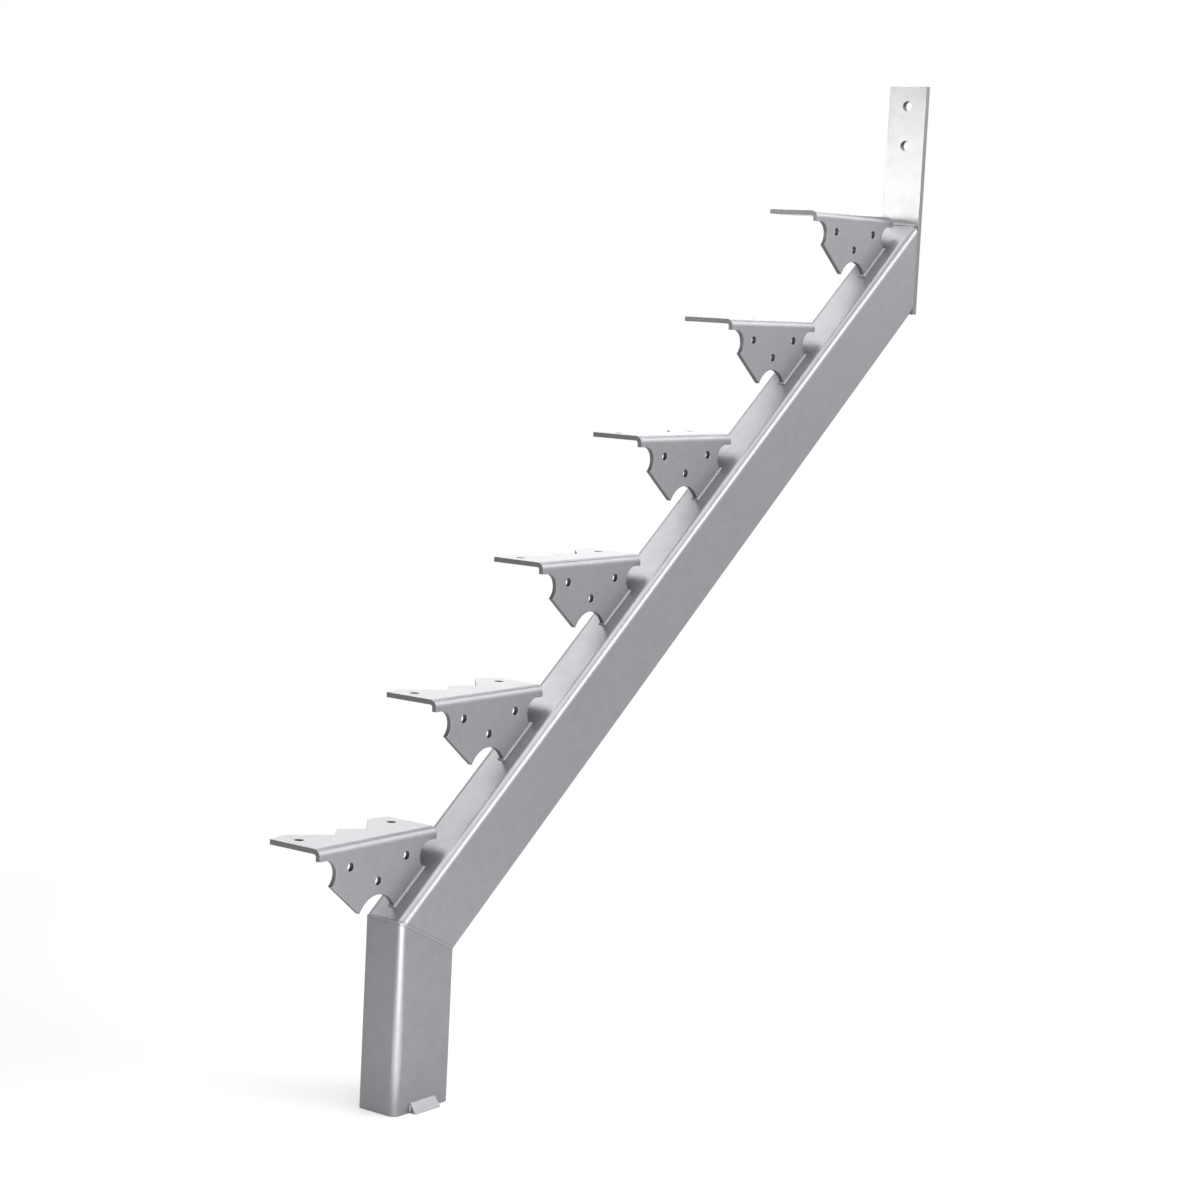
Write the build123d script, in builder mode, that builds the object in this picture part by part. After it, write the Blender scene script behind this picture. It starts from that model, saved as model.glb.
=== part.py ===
from build123d import *
from math import atan2, cos, degrees, radians, sin, tan
import os

# Welded steel stringer for an outdoor stair of six treads. A hollow-section beam climbs at the
# stair's pitch from a plumb foot of the same section, folded plate brackets stand on its top face
# to carry the treads, and a flat plate at its upper end bolts to the deck.
# X runs along the climb, Z is up, and the treads lie towards +Y. The origin is the middle of the
# foot's lower end. Lengths are in millimetres and angles in degrees.

# Stair
rise = 190
going = 240
tread_count = 6

# Rectangular hollow section of the beam and the foot
section_depth = 125
section_width = 75
section_wall = 5
section_corner = 12.5

# Foot, up to the front of the mitre, and the lug that keys it into the concrete
foot_height = 290
lug_length = 56
lug_height = 16
lug_stand_out = 12

# Flat bar at the beam's upper end, with its reach above the beam's top face
plate_thickness = 12
plate_reach = 245
plate_clearance = 31
plate_hole = 18
plate_hole_edge = 35
plate_hole_spacing = 70

# Folded bracket: plate, bend and setback of the lowest one from the kink
bracket_thickness = 8
bracket_bend = 4
bracket_width = 254
bracket_setback = 20

# Bracket web, measured down from the top of the fold
web_end_drop = 18
scallop_radius = 22
scallop_inset = 14
scallop_sweep = 143
tip_spacing = 76
arch_rise = 23
web_hole = 13
web_hole_spacing = 122
web_hole_drop = 34
lower_hole_drop = 63

# Bracket flange, measured across from the face of the web
flange_end_reach = 97
ear_width = 37
ear_reach = 105
valley_spacing = 70
valley_reach = 58
tooth_reach = 83
flange_hole = 14
flange_hole_inset = 27
flange_hole_reach = 66

# Pitch of the stair, and the mitre that halves the angle between foot and beam
pitch = degrees(atan2(rise, going))
slope = rise / going
mitre_fall = (90 - pitch) / 2
foot_front = -section_depth / 2
foot_back = section_depth / 2
foot_back_height = foot_height - section_depth * tan(radians(mitre_fall))


def beam_top(x):
    """Height of the beam's top face."""
    return foot_height + (x - foot_front) * slope


def beam_underside(x):
    """Height of the beam's lower face."""
    return foot_back_height + (x - foot_back) * slope


# Bracket outline: where the scallop ends, and how deep the two tips reach
half_width = bracket_width / 2
scallop_x = half_width - scallop_inset
scallop_drop = web_end_drop + scallop_radius
turn = radians(scallop_sweep - 90)
heel_x = scallop_x - scallop_radius * cos(turn)
heel_drop = scallop_drop + scallop_radius * sin(turn)
tip_x = tip_spacing / 2
tip_drop = heel_drop + (heel_x - tip_x) * slope

# The lowest bracket stands with one tip on the beam, a setback from the kink
first_tip = foot_front + bracket_setback
first_bracket = first_tip - tip_x
first_seat = beam_top(first_tip) + tip_drop
last_bracket = first_bracket + (tread_count - 1) * going
beam_end = last_bracket + half_width + plate_clearance
plate_bottom = beam_underside(beam_end)
plate_top = beam_top(beam_end) + plate_reach

mitre = Plane(
    origin=(foot_front, 0, foot_height),
    x_dir=(0, 1, 0),
    z_dir=(sin(radians(mitre_fall)), 0, cos(radians(mitre_fall))),
)


def tube_section(plane):
    """Hollow section on a plane, its depth along the plane's X."""
    bore_depth = section_depth - 2 * section_wall
    bore_width = section_width - 2 * section_wall
    with BuildSketch(plane) as section:
        RectangleRounded(section_depth, section_width, section_corner)
        RectangleRounded(
            bore_depth, bore_width, section_corner - section_wall, mode=Mode.SUBTRACT
        )
    return section.sketch


def folded_strip(plane):
    """End view of the bent strip, its outer corner at the plane's origin."""
    inside = bracket_thickness
    with BuildSketch(plane) as strip:
        with BuildLine():
            FilletPolyline(
                (0, -tip_drop), (0, 0), (ear_reach, 0), radius=bracket_bend + bracket_thickness
            )
            Line((ear_reach, 0), (ear_reach, -inside))
            FilletPolyline(
                (ear_reach, -inside), (inside, -inside), (inside, -tip_drop), radius=bracket_bend
            )
            Line((inside, -tip_drop), (0, -tip_drop))
        make_face()
    return strip.sketch


def web_outline(plane):
    """Web seen square on: scalloped ends, diagonals at the stair's pitch, arch between the tips."""
    with BuildSketch(plane) as outline:
        with BuildLine():
            Polyline((0, 0), (half_width, 0), (half_width, -web_end_drop), (scallop_x, -web_end_drop))
            scallop = CenterArc((scallop_x, -scallop_drop), scallop_radius, 90, scallop_sweep)
            Line(scallop @ 1, (tip_x, -tip_drop))
            mirror(about=Plane.YZ)
            ThreePointArc((tip_x, -tip_drop), (0, arch_rise - tip_drop), (-tip_x, -tip_drop))
        make_face()
    return outline.sketch


def flange_outline(plane):
    """Flange seen from above: two ears, two valleys and a tooth between them."""
    ear_x = half_width - ear_width
    with BuildSketch(plane) as outline:
        with BuildLine():
            Polyline(
                (0, 0),
                (half_width, 0),
                (half_width, flange_end_reach),
                (ear_x, ear_reach),
                (valley_spacing / 2, valley_reach),
                (0, tooth_reach),
            )
            mirror(about=Plane.YZ)
        make_face()
    return outline.sketch


# Foot: plumb tube, cut on the mitre
with BuildPart() as foot_post:
    extrude(tube_section(Plane.XY), amount=foot_height)
    split(bisect_by=mitre, keep=Keep.BOTTOM)
foot_post.part.label = "foot_post"

# Beam: the same tube along the pitch, cut on the mitre below and plumb above
beam_axis = Plane(
    origin=(0, 0, (foot_height + foot_back_height) / 2),
    x_dir=(sin(radians(pitch)), 0, -cos(radians(pitch))),
    z_dir=(cos(radians(pitch)), 0, sin(radians(pitch))),
)
with BuildPart() as inclined_beam:
    run_up = section_depth
    rough_length = run_up + beam_end / cos(radians(pitch)) + section_depth
    extrude(tube_section(beam_axis.offset(-run_up)), amount=rough_length)
    split(bisect_by=mitre, keep=Keep.TOP)
    split(bisect_by=Plane.YZ.offset(beam_end), keep=Keep.BOTTOM)
inclined_beam.part.label = "inclined_beam"

# Top plate: flat bar over the beam's plumb end, with two bolt holes near its top
plate_height = plate_top - plate_bottom
upper_hole = plate_top - plate_hole_edge
with BuildPart() as top_plate:
    with BuildSketch(Plane.YZ.offset(beam_end)):
        with Locations((0, plate_bottom + plate_height / 2)):
            Rectangle(section_width, plate_height)
        with Locations((0, upper_hole), (0, upper_hole - plate_hole_spacing)):
            Circle(plate_hole / 2, mode=Mode.SUBTRACT)
    extrude(amount=plate_thickness)
top_plate.part.label = "top_plate"

# Foot lug: three-sided bar on the middle of the side face, flush with the foot's lower end
with BuildPart() as foot_lug:
    with BuildSketch(Plane.YZ):
        with BuildLine():
            Polyline(
                (-section_width / 2, 0),
                (-section_width / 2 - lug_stand_out, 0),
                (-section_width / 2, lug_height),
                close=True,
            )
        make_face()
    extrude(amount=lug_length / 2, both=True)
foot_lug.part.label = "foot_lug"

# Tread brackets: one plate, folded once, on the middle of the beam's top face
tread_brackets = []
for number in range(tread_count):
    corner = Vector(
        first_bracket + number * going,
        -bracket_thickness / 2,
        first_seat + number * rise,
    )
    end_view = Plane(origin=corner, x_dir=(0, 1, 0), z_dir=(1, 0, 0))
    side_view = Plane(origin=corner, x_dir=(1, 0, 0), z_dir=(0, -1, 0))
    top_view = Plane(origin=corner)
    with BuildPart() as tread_bracket:
        extrude(folded_strip(end_view), amount=half_width, both=True)
        extrude(web_outline(side_view), amount=2 * ear_reach, both=True, mode=Mode.INTERSECT)
        extrude(flange_outline(top_view), amount=2 * tip_drop, both=True, mode=Mode.INTERSECT)
        with BuildSketch(side_view):
            with Locations((0, -web_hole_drop)):
                with GridLocations(web_hole_spacing, 0, 2, 1):
                    Circle(web_hole / 2)
            with Locations((0, -lower_hole_drop)):
                Circle(web_hole / 2)
        extrude(amount=-bracket_thickness, mode=Mode.SUBTRACT)
        with BuildSketch(top_view):
            with Locations((0, flange_hole_reach)):
                with GridLocations(bracket_width - 2 * flange_hole_inset, 0, 2, 1):
                    Circle(flange_hole / 2)
        extrude(amount=-bracket_thickness, mode=Mode.SUBTRACT)
    tread_bracket.part.label = f"tread_bracket_{number + 1}"
    tread_brackets.append(tread_bracket.part)

os.makedirs("parts", exist_ok=True)
for piece in [foot_post.part, inclined_beam.part, top_plate.part, foot_lug.part, *tread_brackets]:
    export_step(piece, f"parts/{piece.label}.step")
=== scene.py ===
from math import atan2, ceil, cos, pi, radians, sin, tan

import bmesh
import bpy
from mathutils import Matrix, Quaternion, Vector, noise


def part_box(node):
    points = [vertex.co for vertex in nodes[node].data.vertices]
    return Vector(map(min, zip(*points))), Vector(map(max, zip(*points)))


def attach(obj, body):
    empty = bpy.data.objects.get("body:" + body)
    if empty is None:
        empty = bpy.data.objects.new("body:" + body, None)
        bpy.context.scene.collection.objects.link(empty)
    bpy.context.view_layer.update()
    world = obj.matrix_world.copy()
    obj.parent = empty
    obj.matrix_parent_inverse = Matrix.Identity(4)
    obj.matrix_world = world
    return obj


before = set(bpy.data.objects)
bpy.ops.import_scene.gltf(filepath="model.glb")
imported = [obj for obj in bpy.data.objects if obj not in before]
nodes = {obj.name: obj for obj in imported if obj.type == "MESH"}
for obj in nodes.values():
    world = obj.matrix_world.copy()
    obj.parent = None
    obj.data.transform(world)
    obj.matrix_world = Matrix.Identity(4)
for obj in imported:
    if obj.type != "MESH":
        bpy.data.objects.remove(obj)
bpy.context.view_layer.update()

scene = bpy.context.scene

# Looks of a galvanised steel stair stringer. Lengths are in metres, in the frame of the solids.

# Camera, fitted to the corners of the stringer in the photograph
camera_place = Vector((-3.0047, -2.5381, 1.2248))
camera_azimuth = -53.52
camera_elevation = 6.68
camera_roll = 2.87
photo_size = 1200
focal_pixels = 2726.6
sensor = 36
nearest_seen = 0.05
farthest_seen = 200

# Edges of cut plate and sawn tube, eased by the zinc coat
edge_ease = 0.0007
edge_steps = 2
merge_gap = 0.00002
flat_angle = radians(1)
sharp_angle = radians(28)
flat_weight = 80

# Plate and hollow section, as the solids have them
plate_thickness = 0.008
bend_radius = 0.012
tip_spacing = 0.076
scallop_radius = 0.022
scallop_inset = 0.014
scallop_turn = radians(53)
tube_corner = 0.0125

# Bolt holes: radius, spacing and place from the nearest edge or corner
web_hole = 0.0065
web_hole_spacing = 0.122
web_hole_drop = 0.034
lower_hole_drop = 0.063
flange_hole = 0.007
flange_hole_spacing = 0.200
flange_hole_reach = 0.066
plate_hole = 0.009
plate_hole_edge = 0.035
plate_hole_spacing = 0.070
bore_margin = 0.0005

# Share of the normal up to which a surface is a cut edge, and from which it is a rolled face
edge_until = 0.35
face_from = 0.65

# Weld beads: leg of a fillet, its rise as a share of the leg, and a seam ground nearly flush
fillet_leg = 0.0035
fillet_rise = 0.7
seam_width = 0.0035
seam_rise = 0.00025

# Surface of a bead: its depth below the root, its ripples, its unevenness and its tapered ends
bead_points = 5
root_depth = 0.0006
ripple_pitch = 0.0018
ripple_depth = 0.035
ripple_steps = 3
uneven_depth = 0.15
uneven_scale = 90
taper_steps = 4
taper_size = 0.35

# Places read from the frame
bracket_names = sorted(name for name in nodes if name.startswith("tread_bracket_"))
foot_low, foot_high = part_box("foot_post")
beam_low, beam_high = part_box("inclined_beam")
plate_low, plate_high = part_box("top_plate")
first_low, first_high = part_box(bracket_names[0])
second_low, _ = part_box(bracket_names[1])
going = second_low.x - first_low.x
rise = second_low.z - first_low.z
pitch = atan2(rise, going)
uphill = Vector((cos(pitch), 0, sin(pitch)))
off_top = Vector((-sin(pitch), 0, cos(pitch)))


def make_camera():
    """Camera at the photograph's view of the stringer."""
    azimuth = radians(camera_azimuth)
    elevation = radians(camera_elevation)
    back = Vector((sin(azimuth) * cos(elevation), -cos(azimuth) * cos(elevation), sin(elevation)))
    right = Vector((0, 0, 1)).cross(back).normalized()
    up = back.cross(right)
    turn = Matrix((right, up, back)).transposed() @ Matrix.Rotation(radians(camera_roll), 3, "Z")
    data = bpy.data.cameras.new("camera")
    data.sensor_width = sensor
    data.lens = focal_pixels * sensor / photo_size
    data.clip_start = nearest_seen
    data.clip_end = farthest_seen
    camera = bpy.data.objects.new("camera", data)
    camera.matrix_world = Matrix.Translation(camera_place) @ turn.to_4x4()
    scene.collection.objects.link(camera)
    scene.camera = camera


def add_node(tree, kind, **settings):
    """Shader node of a kind, with its attributes set."""
    node = tree.nodes.new(kind)
    for name, value in settings.items():
        setattr(node, name, value)
    return node


def plug(node, socket, value):
    """Set an input of a node by its name or number. A socket as value is linked."""
    if isinstance(value, bpy.types.NodeSocket):
        node.id_data.links.new(value, node.inputs[socket])
    else:
        node.inputs[socket].default_value = value


def fill(node, **inputs):
    """Set inputs of a node by name, with underscores for spaces."""
    for name, value in inputs.items():
        plug(node, name.replace("_", " "), value)


def calc(tree, operation, *values):
    """Output of a math node over numbers and sockets."""
    node = add_node(tree, "ShaderNodeMath", operation=operation)
    for index, value in enumerate(values):
        plug(node, index, value)
    return node.outputs[0]


def vector_calc(tree, operation, *values):
    """Output of a vector math node over vectors and sockets."""
    node = add_node(tree, "ShaderNodeVectorMath", operation=operation)
    for index, value in enumerate(values):
        plug(node, index, value)
    return node.outputs["Value" if operation in ("LENGTH", "DISTANCE") else "Vector"]


def remap(tree, value, low, high, new_low, new_high):
    """Smooth step of a value from one range to another."""
    node = add_node(tree, "ShaderNodeMapRange", interpolation_type="SMOOTHSTEP")
    fill(node, Value=value, From_Min=low, From_Max=high, To_Min=new_low, To_Max=new_high)
    return node.outputs["Result"]


def blend(tree, share, first, second, kind="FLOAT", **settings):
    """Mix by a share of two numbers, vectors or colours. Each kind has its own sockets."""
    node = add_node(tree, "ShaderNodeMix", data_type=kind, **settings)
    first_input, output = {"FLOAT": (2, 0), "VECTOR": (4, 1), "RGBA": (6, 2)}[kind]
    plug(node, 0, share)
    plug(node, first_input, first)
    plug(node, first_input + 1, second)
    return node.outputs[output]


def blend_shaders(tree, share, first, second):
    """Mix of two shaders by a share."""
    node = add_node(tree, "ShaderNodeMixShader")
    for index, value in enumerate((share, first, second)):
        plug(node, index, value)
    return node.outputs[0]


def grey(value, blue=0.0):
    """Grey colour, a little cooler with blue."""
    return (value * (1 - blue / 3), value, value * (1 + blue), 1)


def seen_as_background(tree):
    """1 for camera, glossy and transmission rays, which see the plain white, 0 for the rest."""
    path = add_node(tree, "ShaderNodeLightPath")
    seen = calc(tree, "MAXIMUM", path.outputs["Is Camera Ray"], path.outputs["Is Glossy Ray"])
    return calc(tree, "MAXIMUM", seen, path.outputs["Is Transmission Ray"])


def in_bores(tree, place, low, high, holes):
    """1 in the bores of a piece. A hole has a centre from the box's corner, a radius and a plane."""
    spot = vector_calc(tree, "MULTIPLY", place.outputs["Generated"], high - low)
    share = 0.0
    for centre, radius, plane in holes:
        gap = vector_calc(tree, "SUBTRACT", spot, centre)
        gap = vector_calc(tree, "LENGTH", vector_calc(tree, "MULTIPLY", gap, plane))
        inside = calc(tree, "LESS_THAN", gap, radius + bore_margin)
        share = calc(tree, "MAXIMUM", share, inside)
    return share


def bores_of_bracket(tree, place):
    """1 in the three holes of the web and the two of the flange."""
    middle = (first_high.x - first_low.x) / 2
    top = first_high.z - first_low.z
    upright = (1, 0, 1)
    level = (1, 1, 0)
    holes = [((middle, 0, top - lower_hole_drop), web_hole, upright)]
    for way in (-0.5, 0.5):
        web_x = middle + way * web_hole_spacing
        flange_x = middle + way * flange_hole_spacing
        holes.append(((web_x, 0, top - web_hole_drop), web_hole, upright))
        holes.append(((flange_x, flange_hole_reach, 0), flange_hole, level))
    return in_bores(tree, place, first_low, first_high, holes)


def bores_of_plate(tree, place):
    """1 in the two holes of the top plate."""
    middle = (plate_high.y - plate_low.y) / 2
    top = plate_high.z - plate_low.z - plate_hole_edge
    holes = [((0, middle, top - drop), plate_hole, (0, 1, 1)) for drop in (0, plate_hole_spacing)]
    return in_bores(tree, place, plate_low, plate_high, holes)


def cut_share_of_bracket(tree, place, normal):
    """1 on the cut edges and holes of a folded bracket, 0 on its rolled faces."""
    fold_drop = 1.3 * bend_radius
    fold_height = 1 - fold_drop / (first_high.z - first_low.z)
    flange_start = bend_radius / (first_high.y - first_low.y)
    spot = add_node(tree, "ShaderNodeSeparateXYZ")
    fill(spot, Vector=place.outputs["Generated"])
    in_fold = calc(tree, "GREATER_THAN", spot.outputs["Z"], fold_height)
    in_flange = calc(tree, "GREATER_THAN", spot.outputs["Y"], flange_start)
    across = calc(tree, "ABSOLUTE", normal.outputs["X"])
    web_face = calc(tree, "ABSOLUTE", normal.outputs["Y"])
    fold_face = calc(tree, "SUBTRACT", 1.0, across)
    flange_face = calc(tree, "ABSOLUTE", normal.outputs["Z"])
    upper_face = blend(tree, in_flange, fold_face, flange_face)
    face = blend(tree, in_fold, web_face, upper_face)
    return remap(tree, face, edge_until, face_from, 1.0, 0.0)


def cut_share_of_plate(tree, place, normal):
    """1 on the edges and holes of the top plate, 0 on its faces."""
    face = calc(tree, "ABSOLUTE", normal.outputs["X"])
    return remap(tree, face, edge_until, face_from, 1.0, 0.0)


def galvanised(
    name, shade, blue=0.05, rough=0.38, crystal_size=0.014, cut_share=None, bores=None
):
    """Hot-dip galvanised steel: zinc crystals, clouds, fine grain, rougher cut edges, and painted
    shade on the cut edges and in the bores.
    """
    metal_share = 0.8
    warp_size = 4 * crystal_size
    warp_share = 0.02
    cloud_size = 0.2
    crystal_weight = 0.45
    cloud_weight = 0.75
    darkest = 0.2
    palest = 0.85
    tone_change = 0.035
    gloss_change = 0.005
    grain_size = 0.0012
    wave_size = 0.03
    wave_weight = 0.5
    # Cut edges and bores are painted darker than the rolled faces: painted shade.
    cut_edge_painted_shade = 0.6
    bore_painted_shade = 0.3
    cut_rough = 0.55
    cut_line_size = 0.0012
    cut_line_stretch = (1, 0.06, 1)
    bump_strength = 0.2
    bump_depth = 0.0002

    material = bpy.data.materials.new(name)
    material.use_nodes = True
    tree = material.node_tree
    tree.nodes.clear()
    output = add_node(tree, "ShaderNodeOutputMaterial")
    steel = add_node(tree, "ShaderNodeBsdfPrincipled")
    fill(steel, Metallic=metal_share)
    plug(output, "Surface", steel.outputs[0])

    place = add_node(tree, "ShaderNodeTexCoord")
    spot = place.outputs["Object"]
    warp = add_node(tree, "ShaderNodeTexNoise")
    fill(warp, Vector=spot, Scale=1 / warp_size, Detail=3.0)
    warped = blend(tree, warp_share, spot, warp.outputs["Color"], "VECTOR")
    crystals = add_node(tree, "ShaderNodeTexVoronoi", feature="F1")
    fill(crystals, Vector=warped, Scale=1 / crystal_size)
    crystal = add_node(tree, "ShaderNodeSeparateColor")
    fill(crystal, Color=crystals.outputs["Color"])
    clouds = add_node(tree, "ShaderNodeTexNoise")
    fill(clouds, Vector=spot, Scale=1 / cloud_size, Detail=4.0, Roughness=0.55)

    mottle = calc(tree, "MULTIPLY", crystal.outputs["Red"], crystal_weight)
    mottle = calc(tree, "MULTIPLY_ADD", clouds.outputs["Fac"], cloud_weight, mottle)
    tone = remap(tree, mottle, darkest, palest, 1 - tone_change, 1 + tone_change)
    gloss = remap(tree, mottle, darkest, palest, rough + gloss_change, rough - gloss_change)

    grain = add_node(tree, "ShaderNodeTexNoise")
    fill(grain, Vector=spot, Scale=1 / grain_size, Detail=2.0)
    waves = add_node(tree, "ShaderNodeTexNoise")
    fill(waves, Vector=spot, Scale=1 / wave_size, Detail=2.0)
    height = calc(tree, "MULTIPLY_ADD", waves.outputs["Fac"], wave_weight, grain.outputs["Fac"])

    if cut_share:
        normal = add_node(tree, "ShaderNodeSeparateXYZ")
        fill(normal, Vector=place.outputs["Normal"])
        cut = cut_share(tree, place, normal)
        # Painted shade: the bores get a much darker colour than the faces, as shade in the holes.
        bore_shade_share = calc(tree, "MULTIPLY", bores(tree, place), cut)
        painted_edge_and_bore_shade = blend(tree, bore_shade_share, cut_edge_painted_shade, bore_painted_shade)
        # Cut edges get a darker colour as painted shade, and a rougher finish with cut lines, which
        # are real.
        tone = calc(tree, "MULTIPLY", tone, blend(tree, cut, 1.0, painted_edge_and_bore_shade))
        gloss = blend(tree, cut, gloss, cut_rough)
        lines = add_node(tree, "ShaderNodeTexNoise")
        stretched = vector_calc(tree, "MULTIPLY", spot, cut_line_stretch)
        fill(lines, Vector=stretched, Scale=1 / cut_line_size, Detail=1.0)
        height = calc(tree, "ADD", height, calc(tree, "MULTIPLY", lines.outputs["Fac"], cut))

    colour = blend(tree, 1.0, grey(shade, blue), tone, "RGBA", blend_type="MULTIPLY")
    fill(steel, Base_Color=colour, Roughness=gloss)

    bump = add_node(tree, "ShaderNodeBump")
    fill(bump, Height=height, Strength=bump_strength, Distance=bump_depth)
    fill(steel, Normal=bump.outputs[0])
    return material


def dress(name, material):
    """Give a solid its finish and ease its sharp edges."""
    piece = nodes[name]
    for material_slot in piece.material_slots:
        material_slot.material = material
    joined = piece.modifiers.new("joined", "WELD")
    joined.merge_threshold = merge_gap
    flats = piece.modifiers.new("flats", "DECIMATE")
    flats.decimate_type = "DISSOLVE"
    flats.angle_limit = flat_angle
    eased = piece.modifiers.new("eased", "BEVEL")
    eased.width = edge_ease
    eased.segments = edge_steps
    eased.limit_method = "ANGLE"
    eased.angle_limit = sharp_angle
    for face in piece.data.polygons:
        face.use_smooth = True
    shaded = piece.modifiers.new("shaded", "WEIGHTED_NORMAL")
    shaded.keep_sharp = False
    shaded.weight = flat_weight


def spread(points, step, closed):
    """Places along a run of points, about a step apart, each with its share between two of them."""
    count = len(points)
    places = []
    for index in range(count if closed else count - 1):
        start = points[index]
        end = points[(index + 1) % count]
        parts = max(1, ceil((end - start).length / step))
        places += [(index, part / parts) for part in range(parts)]
    if not closed:
        places.append((count - 2, 1.0))
    return places


def make_bead(name, stations, closed, material):
    """Weld bead along stations: root, leg on each side, outward direction and rise over the root."""
    roots = [station[0] for station in stations]
    count = len(stations)
    mesh = bmesh.new()
    rings = []
    places = spread(roots, ripple_pitch / ripple_steps, closed)
    length = 0
    last = None
    for order, (index, share) in enumerate(places):
        first = stations[index]
        second = stations[(index + 1) % count]
        root, leg_a, leg_b, outward = (first[k].lerp(second[k], share) for k in range(4))
        outward.normalize()
        rise_over = first[4] * (1 - share) + second[4] * share
        if last is not None:
            length += (root - last).length
        last = root
        size = 1 + ripple_depth * sin(2 * pi * length / ripple_pitch)
        size *= 1 + uneven_depth * noise.noise(root * uneven_scale)
        if not closed:
            to_end = min(order, len(places) - 1 - order) / taper_steps
            size *= min(1, taper_size + (1 - taper_size) * to_end)
        # Middle control point, placed so that the curve passes at the rise over the root
        lift = 2 * (rise_over * size - (leg_a + leg_b).dot(outward) * size / 4)
        middle = root + outward * lift
        ring = [mesh.verts.new(root - outward * root_depth)]
        for step in range(bead_points):
            t = step / (bead_points - 1)
            start = root + leg_a * size
            end = root + leg_b * size
            curve = start * (1 - t) ** 2 + middle * 2 * t * (1 - t) + end * t ** 2
            ring.append(mesh.verts.new(curve))
        rings.append(ring)
    sides = len(rings[0])
    for index in range(len(rings) if closed else len(rings) - 1):
        ring = rings[index]
        following = rings[(index + 1) % len(rings)]
        for side in range(sides):
            beside = (side + 1) % sides
            mesh.faces.new((ring[side], ring[beside], following[beside], following[side]))
    if not closed:
        mesh.faces.new(rings[0])
        mesh.faces.new(rings[-1])
    bmesh.ops.recalc_face_normals(mesh, faces=mesh.faces)
    for face in mesh.faces:
        face.smooth = True
    data = bpy.data.meshes.new(name)
    mesh.to_mesh(data)
    mesh.free()
    data.materials.append(material)
    bead = bpy.data.objects.new(name, data)
    scene.collection.objects.link(bead)
    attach(bead, "root")


def weld_bracket(name, material):
    """Fillet all round the edge of a bracket that stands on the beam."""
    low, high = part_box(name)
    centre_x = (low.x + high.x) / 2
    half_width = (high.x - low.x) / 2
    tip = Vector((centre_x + tip_spacing / 2, 0, low.z))
    heel_x = centre_x + half_width - scallop_inset - scallop_radius * cos(scallop_turn)
    length = (heel_x - tip.x) / cos(pitch)
    side = Vector((0, 1, 0))
    half = plate_thickness / 2
    corner_gap = 0.00002
    corner_steps = 4
    stations = []
    for turn, along, across in ((0, length, half), (1, 0, half), (2, 0, -half), (3, length, -half)):
        for step in range(corner_steps + 1):
            angle = pi / 2 * (turn + step / corner_steps)
            outward = uphill * cos(angle) + side * sin(angle)
            root = tip + uphill * along + side * across + outward * corner_gap
            low_leg = outward * fillet_leg
            high_leg = off_top * fillet_leg
            stations.append((root, low_leg, high_leg, outward + off_top, fillet_rise * fillet_leg))
    make_bead(f"weld_of_{name}", stations, True, material)


def rounded_outline(half_x, half_y, radius, steps=6):
    """Points and outward normals round a rounded rectangle."""
    outline = []
    for turn, x, y in ((0, 1, 1), (1, -1, 1), (2, -1, -1), (3, 1, -1)):
        for step in range(steps + 1):
            angle = pi / 2 * (turn + step / steps)
            normal = Vector((cos(angle), sin(angle), 0))
            centre = Vector((x * (half_x - radius), y * (half_y - radius), 0))
            outline.append((centre + normal * radius, normal))
    return outline


def weld_mitre(material):
    """Seam round the mitre of foot and beam, ground nearly flush."""
    half_x = (foot_high.x - foot_low.x) / 2
    half_y = (foot_high.y - foot_low.y) / 2
    fall = tan((pi / 2 - pitch) / 2)
    down = Vector((0, 0, -1))
    stations = []
    for point, normal in rounded_outline(half_x, half_y, tube_corner):
        root = Vector((point.x, point.y, foot_high.z - (point.x - foot_low.x) * fall))
        beam_normal = off_top * -normal.x + Vector((0, normal.y, 0))
        outward = (normal + beam_normal).normalized()
        stations.append((root, down * seam_width, uphill * seam_width, outward, seam_rise))
    make_bead("weld_of_mitre", stations, True, material)


def weld_plate(material):
    """Fillet across the beam's top face where the plate rises from it, lower at its two ends."""
    end_inset = 0.3 * tube_corner
    end_drop = 0.0012
    rise_over = 0.55 * fillet_leg
    half_y = (beam_high.y - beam_low.y) / 2 - end_inset
    top = foot_high.z + (beam_high.x - foot_low.x) * tan(pitch)
    up = Vector((0, 0, 1))
    stations = []
    for y, drop in ((-half_y, end_drop), (0, 0), (half_y, end_drop)):
        root = Vector((beam_high.x, y, top - drop))
        stations.append((root, -uphill * fillet_leg, up * fillet_leg, up - uphill, rise_over))
    make_bead("weld_of_plate", stations, False, material)


def weld_lug(material):
    """Short fillets at both ends of the foot's lug."""
    low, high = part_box("foot_lug")
    leg = 0.8 * fillet_leg
    lower_end = 0.0015
    upper_end = 0.8 * (high.z - low.z)
    out = Vector((0, -1, 0))
    for name, x, way in (("front", low.x, -1), ("back", high.x, 1)):
        along = Vector((way, 0, 0))
        stations = []
        for height in (lower_end, upper_end):
            root = Vector((x, high.y, low.z + height))
            stations.append((root, along * leg, out * leg, along + out, fillet_rise * leg))
        make_bead(f"weld_of_lug_{name}", stations, False, material)


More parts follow.
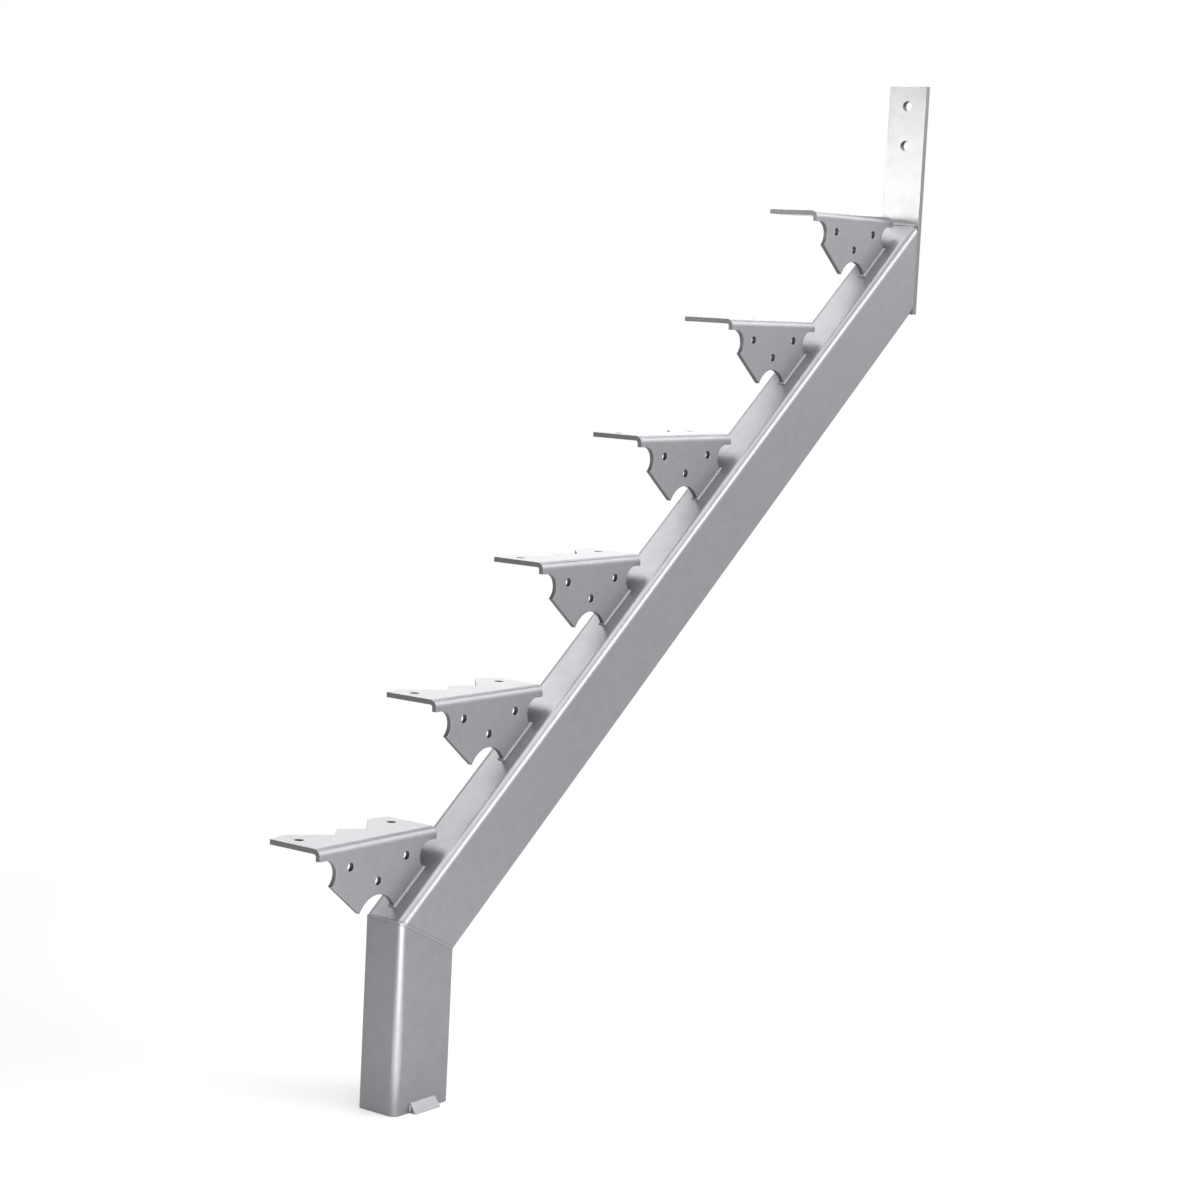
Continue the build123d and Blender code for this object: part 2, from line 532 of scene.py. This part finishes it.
def make_floor():
    """Pale floor that keeps the soft shadow and fades into the white background."""
    floor_radius = 40
    floor_sides = 96
    floor_shade = 0.55
    bounce_shade = 0.8
    fade_middle = (0.3, 0, 0)
    fade_start = 0.7
    fade_end = 1.9

    bpy.ops.mesh.primitive_circle_add(vertices=floor_sides, radius=floor_radius, fill_type="NGON")
    floor = bpy.context.object
    floor.name = "floor"
    material = bpy.data.materials.new("pale floor")
    material.use_nodes = True
    tree = material.node_tree
    tree.nodes.clear()
    output = add_node(tree, "ShaderNodeOutputMaterial")
    place = add_node(tree, "ShaderNodeTexCoord")
    from_middle = vector_calc(tree, "DISTANCE", place.outputs["Object"], fade_middle)
    far = remap(tree, from_middle, fade_start, fade_end, 0.0, 1.0)
    matt = add_node(tree, "ShaderNodeBsdfDiffuse")
    fill(matt, Color=grey(floor_shade))
    lift = add_node(tree, "ShaderNodeEmission")
    fill(lift, Color=grey(1.0), Strength=floor_lift)
    near = add_node(tree, "ShaderNodeAddShader")
    plug(near, 0, matt.outputs[0])
    plug(near, 1, lift.outputs[0])
    white = add_node(tree, "ShaderNodeEmission")
    fill(white, Color=grey(1.0), Strength=1.0)
    faded = blend_shaders(tree, far, near.outputs[0], white.outputs[0])
    plain = add_node(tree, "ShaderNodeBsdfDiffuse")
    fill(plain, Color=grey(bounce_shade))
    chosen = blend_shaders(tree, seen_as_background(tree), plain.outputs[0], faded)
    plug(output, "Surface", chosen)
    floor.data.materials.append(material)


def make_world():
    """White background, with a plainer light of its own on matt surfaces."""
    world = bpy.data.worlds.new("studio")
    world.use_nodes = True
    scene.world = world
    tree = world.node_tree
    tree.nodes.clear()
    output = add_node(tree, "ShaderNodeOutputWorld")
    ambient = add_node(tree, "ShaderNodeBackground")
    fill(ambient, Color=grey(1.0), Strength=ambient_light)
    white = add_node(tree, "ShaderNodeBackground")
    fill(white, Color=grey(1.0), Strength=1.0)
    chosen = blend_shaders(tree, seen_as_background(tree), ambient.outputs[0], white.outputs[0])
    plug(output, "Surface", chosen)


def add_softbox(name, place, target, width, height, power, spread_angle=180, roll=0):
    """Area lamp at a place, facing a target and turned about its own axis."""
    data = bpy.data.lights.new(name, "AREA")
    data.shape = "RECTANGLE"
    data.size = width
    data.size_y = height
    data.energy = power
    data.spread = radians(spread_angle)
    lamp = bpy.data.objects.new(name, data)
    lamp.location = place
    lamp.rotation_mode = "QUATERNION"
    facing = (Vector(target) - Vector(place)).to_track_quat("-Z", "Y")
    lamp.rotation_quaternion = facing @ Quaternion((0, 0, 1), radians(roll))
    lamp.visible_camera = False
    scene.collection.objects.link(lamp)


# Plain studio: white room and pale floor
ambient_light = 0.1
floor_lift = 0.4
scene.view_settings.view_transform = "Standard"
make_camera()
make_world()
make_floor()

# Softboxes, each with its place, target, width, height and power
add_softbox("beam_top", (0.2, 2.05, 3.25), (0.2, 0, 0.5), 1.8, 0.8, 10)
add_softbox("over_beam", (0.1, 0.15, 3.2), (0.3, 0, 0.6), 3.8, 2.6, 84)
add_softbox("near_edge", (1.55, -2.25, 2.07), (1.85, -1.38, 1.69), 3.8, 1.5, 98, roll=42)
add_softbox("plate_face", (-0.1, 0.82, 1.43), (1.28, 0, 1.46), 0.5, 0.35, 0.78, spread_angle=60)
add_softbox("seat_graze", (3.3, 2.5, 1.5), (0.5, 0, 0.8), 2.5, 1.6, 21)
add_softbox("floor_card", (-0.43, -0.49, 0.04), (-0.39, -0.44, 1.04), 0.7, 1.0, 4)
add_softbox("foot_edge", (-0.75, -0.86, 0.2), (0, 0, 0.12), 0.9, 0.36, 10)
add_softbox("fold_light", (2.9, -0.2, 2.5), (0.5, 0, 0.8), 3.0, 1.2, 34)
add_softbox("upper_side", (2.9, -1.1, 1.6), (1.2, 0, 1.2), 0.8, 0.8, 0.7)
add_softbox("upper_top", (1.7, 1.25, 3.1), (1.2, 0, 1.25), 0.8, 0.5, 2.5)

# Finishes, with the cut edges and bores of the plate and the brackets
# The foot steel is the same galvanised steel with a darker shade than the beam steel: painted shade
# on the foot and its lug, giving a tone step at the mitre.
foot_steel_painted_darker = galvanised("foot steel painted darker", 0.22)
beam_steel = galvanised("beam steel", 0.24)
plate_steel = galvanised(
    "plate steel", 0.28, blue=0.012, cut_share=cut_share_of_plate, bores=bores_of_plate
)
bracket_steel = galvanised(
    "bracket steel",
    0.24,
    crystal_size=0.011,
    cut_share=cut_share_of_bracket,
    bores=bores_of_bracket,
)
weld_zinc = galvanised("zinc on welds", 0.2, rough=0.55, crystal_size=0.006)
finishes = {
    "foot_post": foot_steel_painted_darker,
    "inclined_beam": beam_steel,
    "top_plate": plate_steel,
    "foot_lug": foot_steel_painted_darker,
}
for name in nodes:
    dress(name, finishes.get(name, bracket_steel))

# Welds
for name in bracket_names:
    weld_bracket(name, weld_zinc)
weld_mitre(beam_steel)
weld_plate(weld_zinc)
weld_lug(weld_zinc)
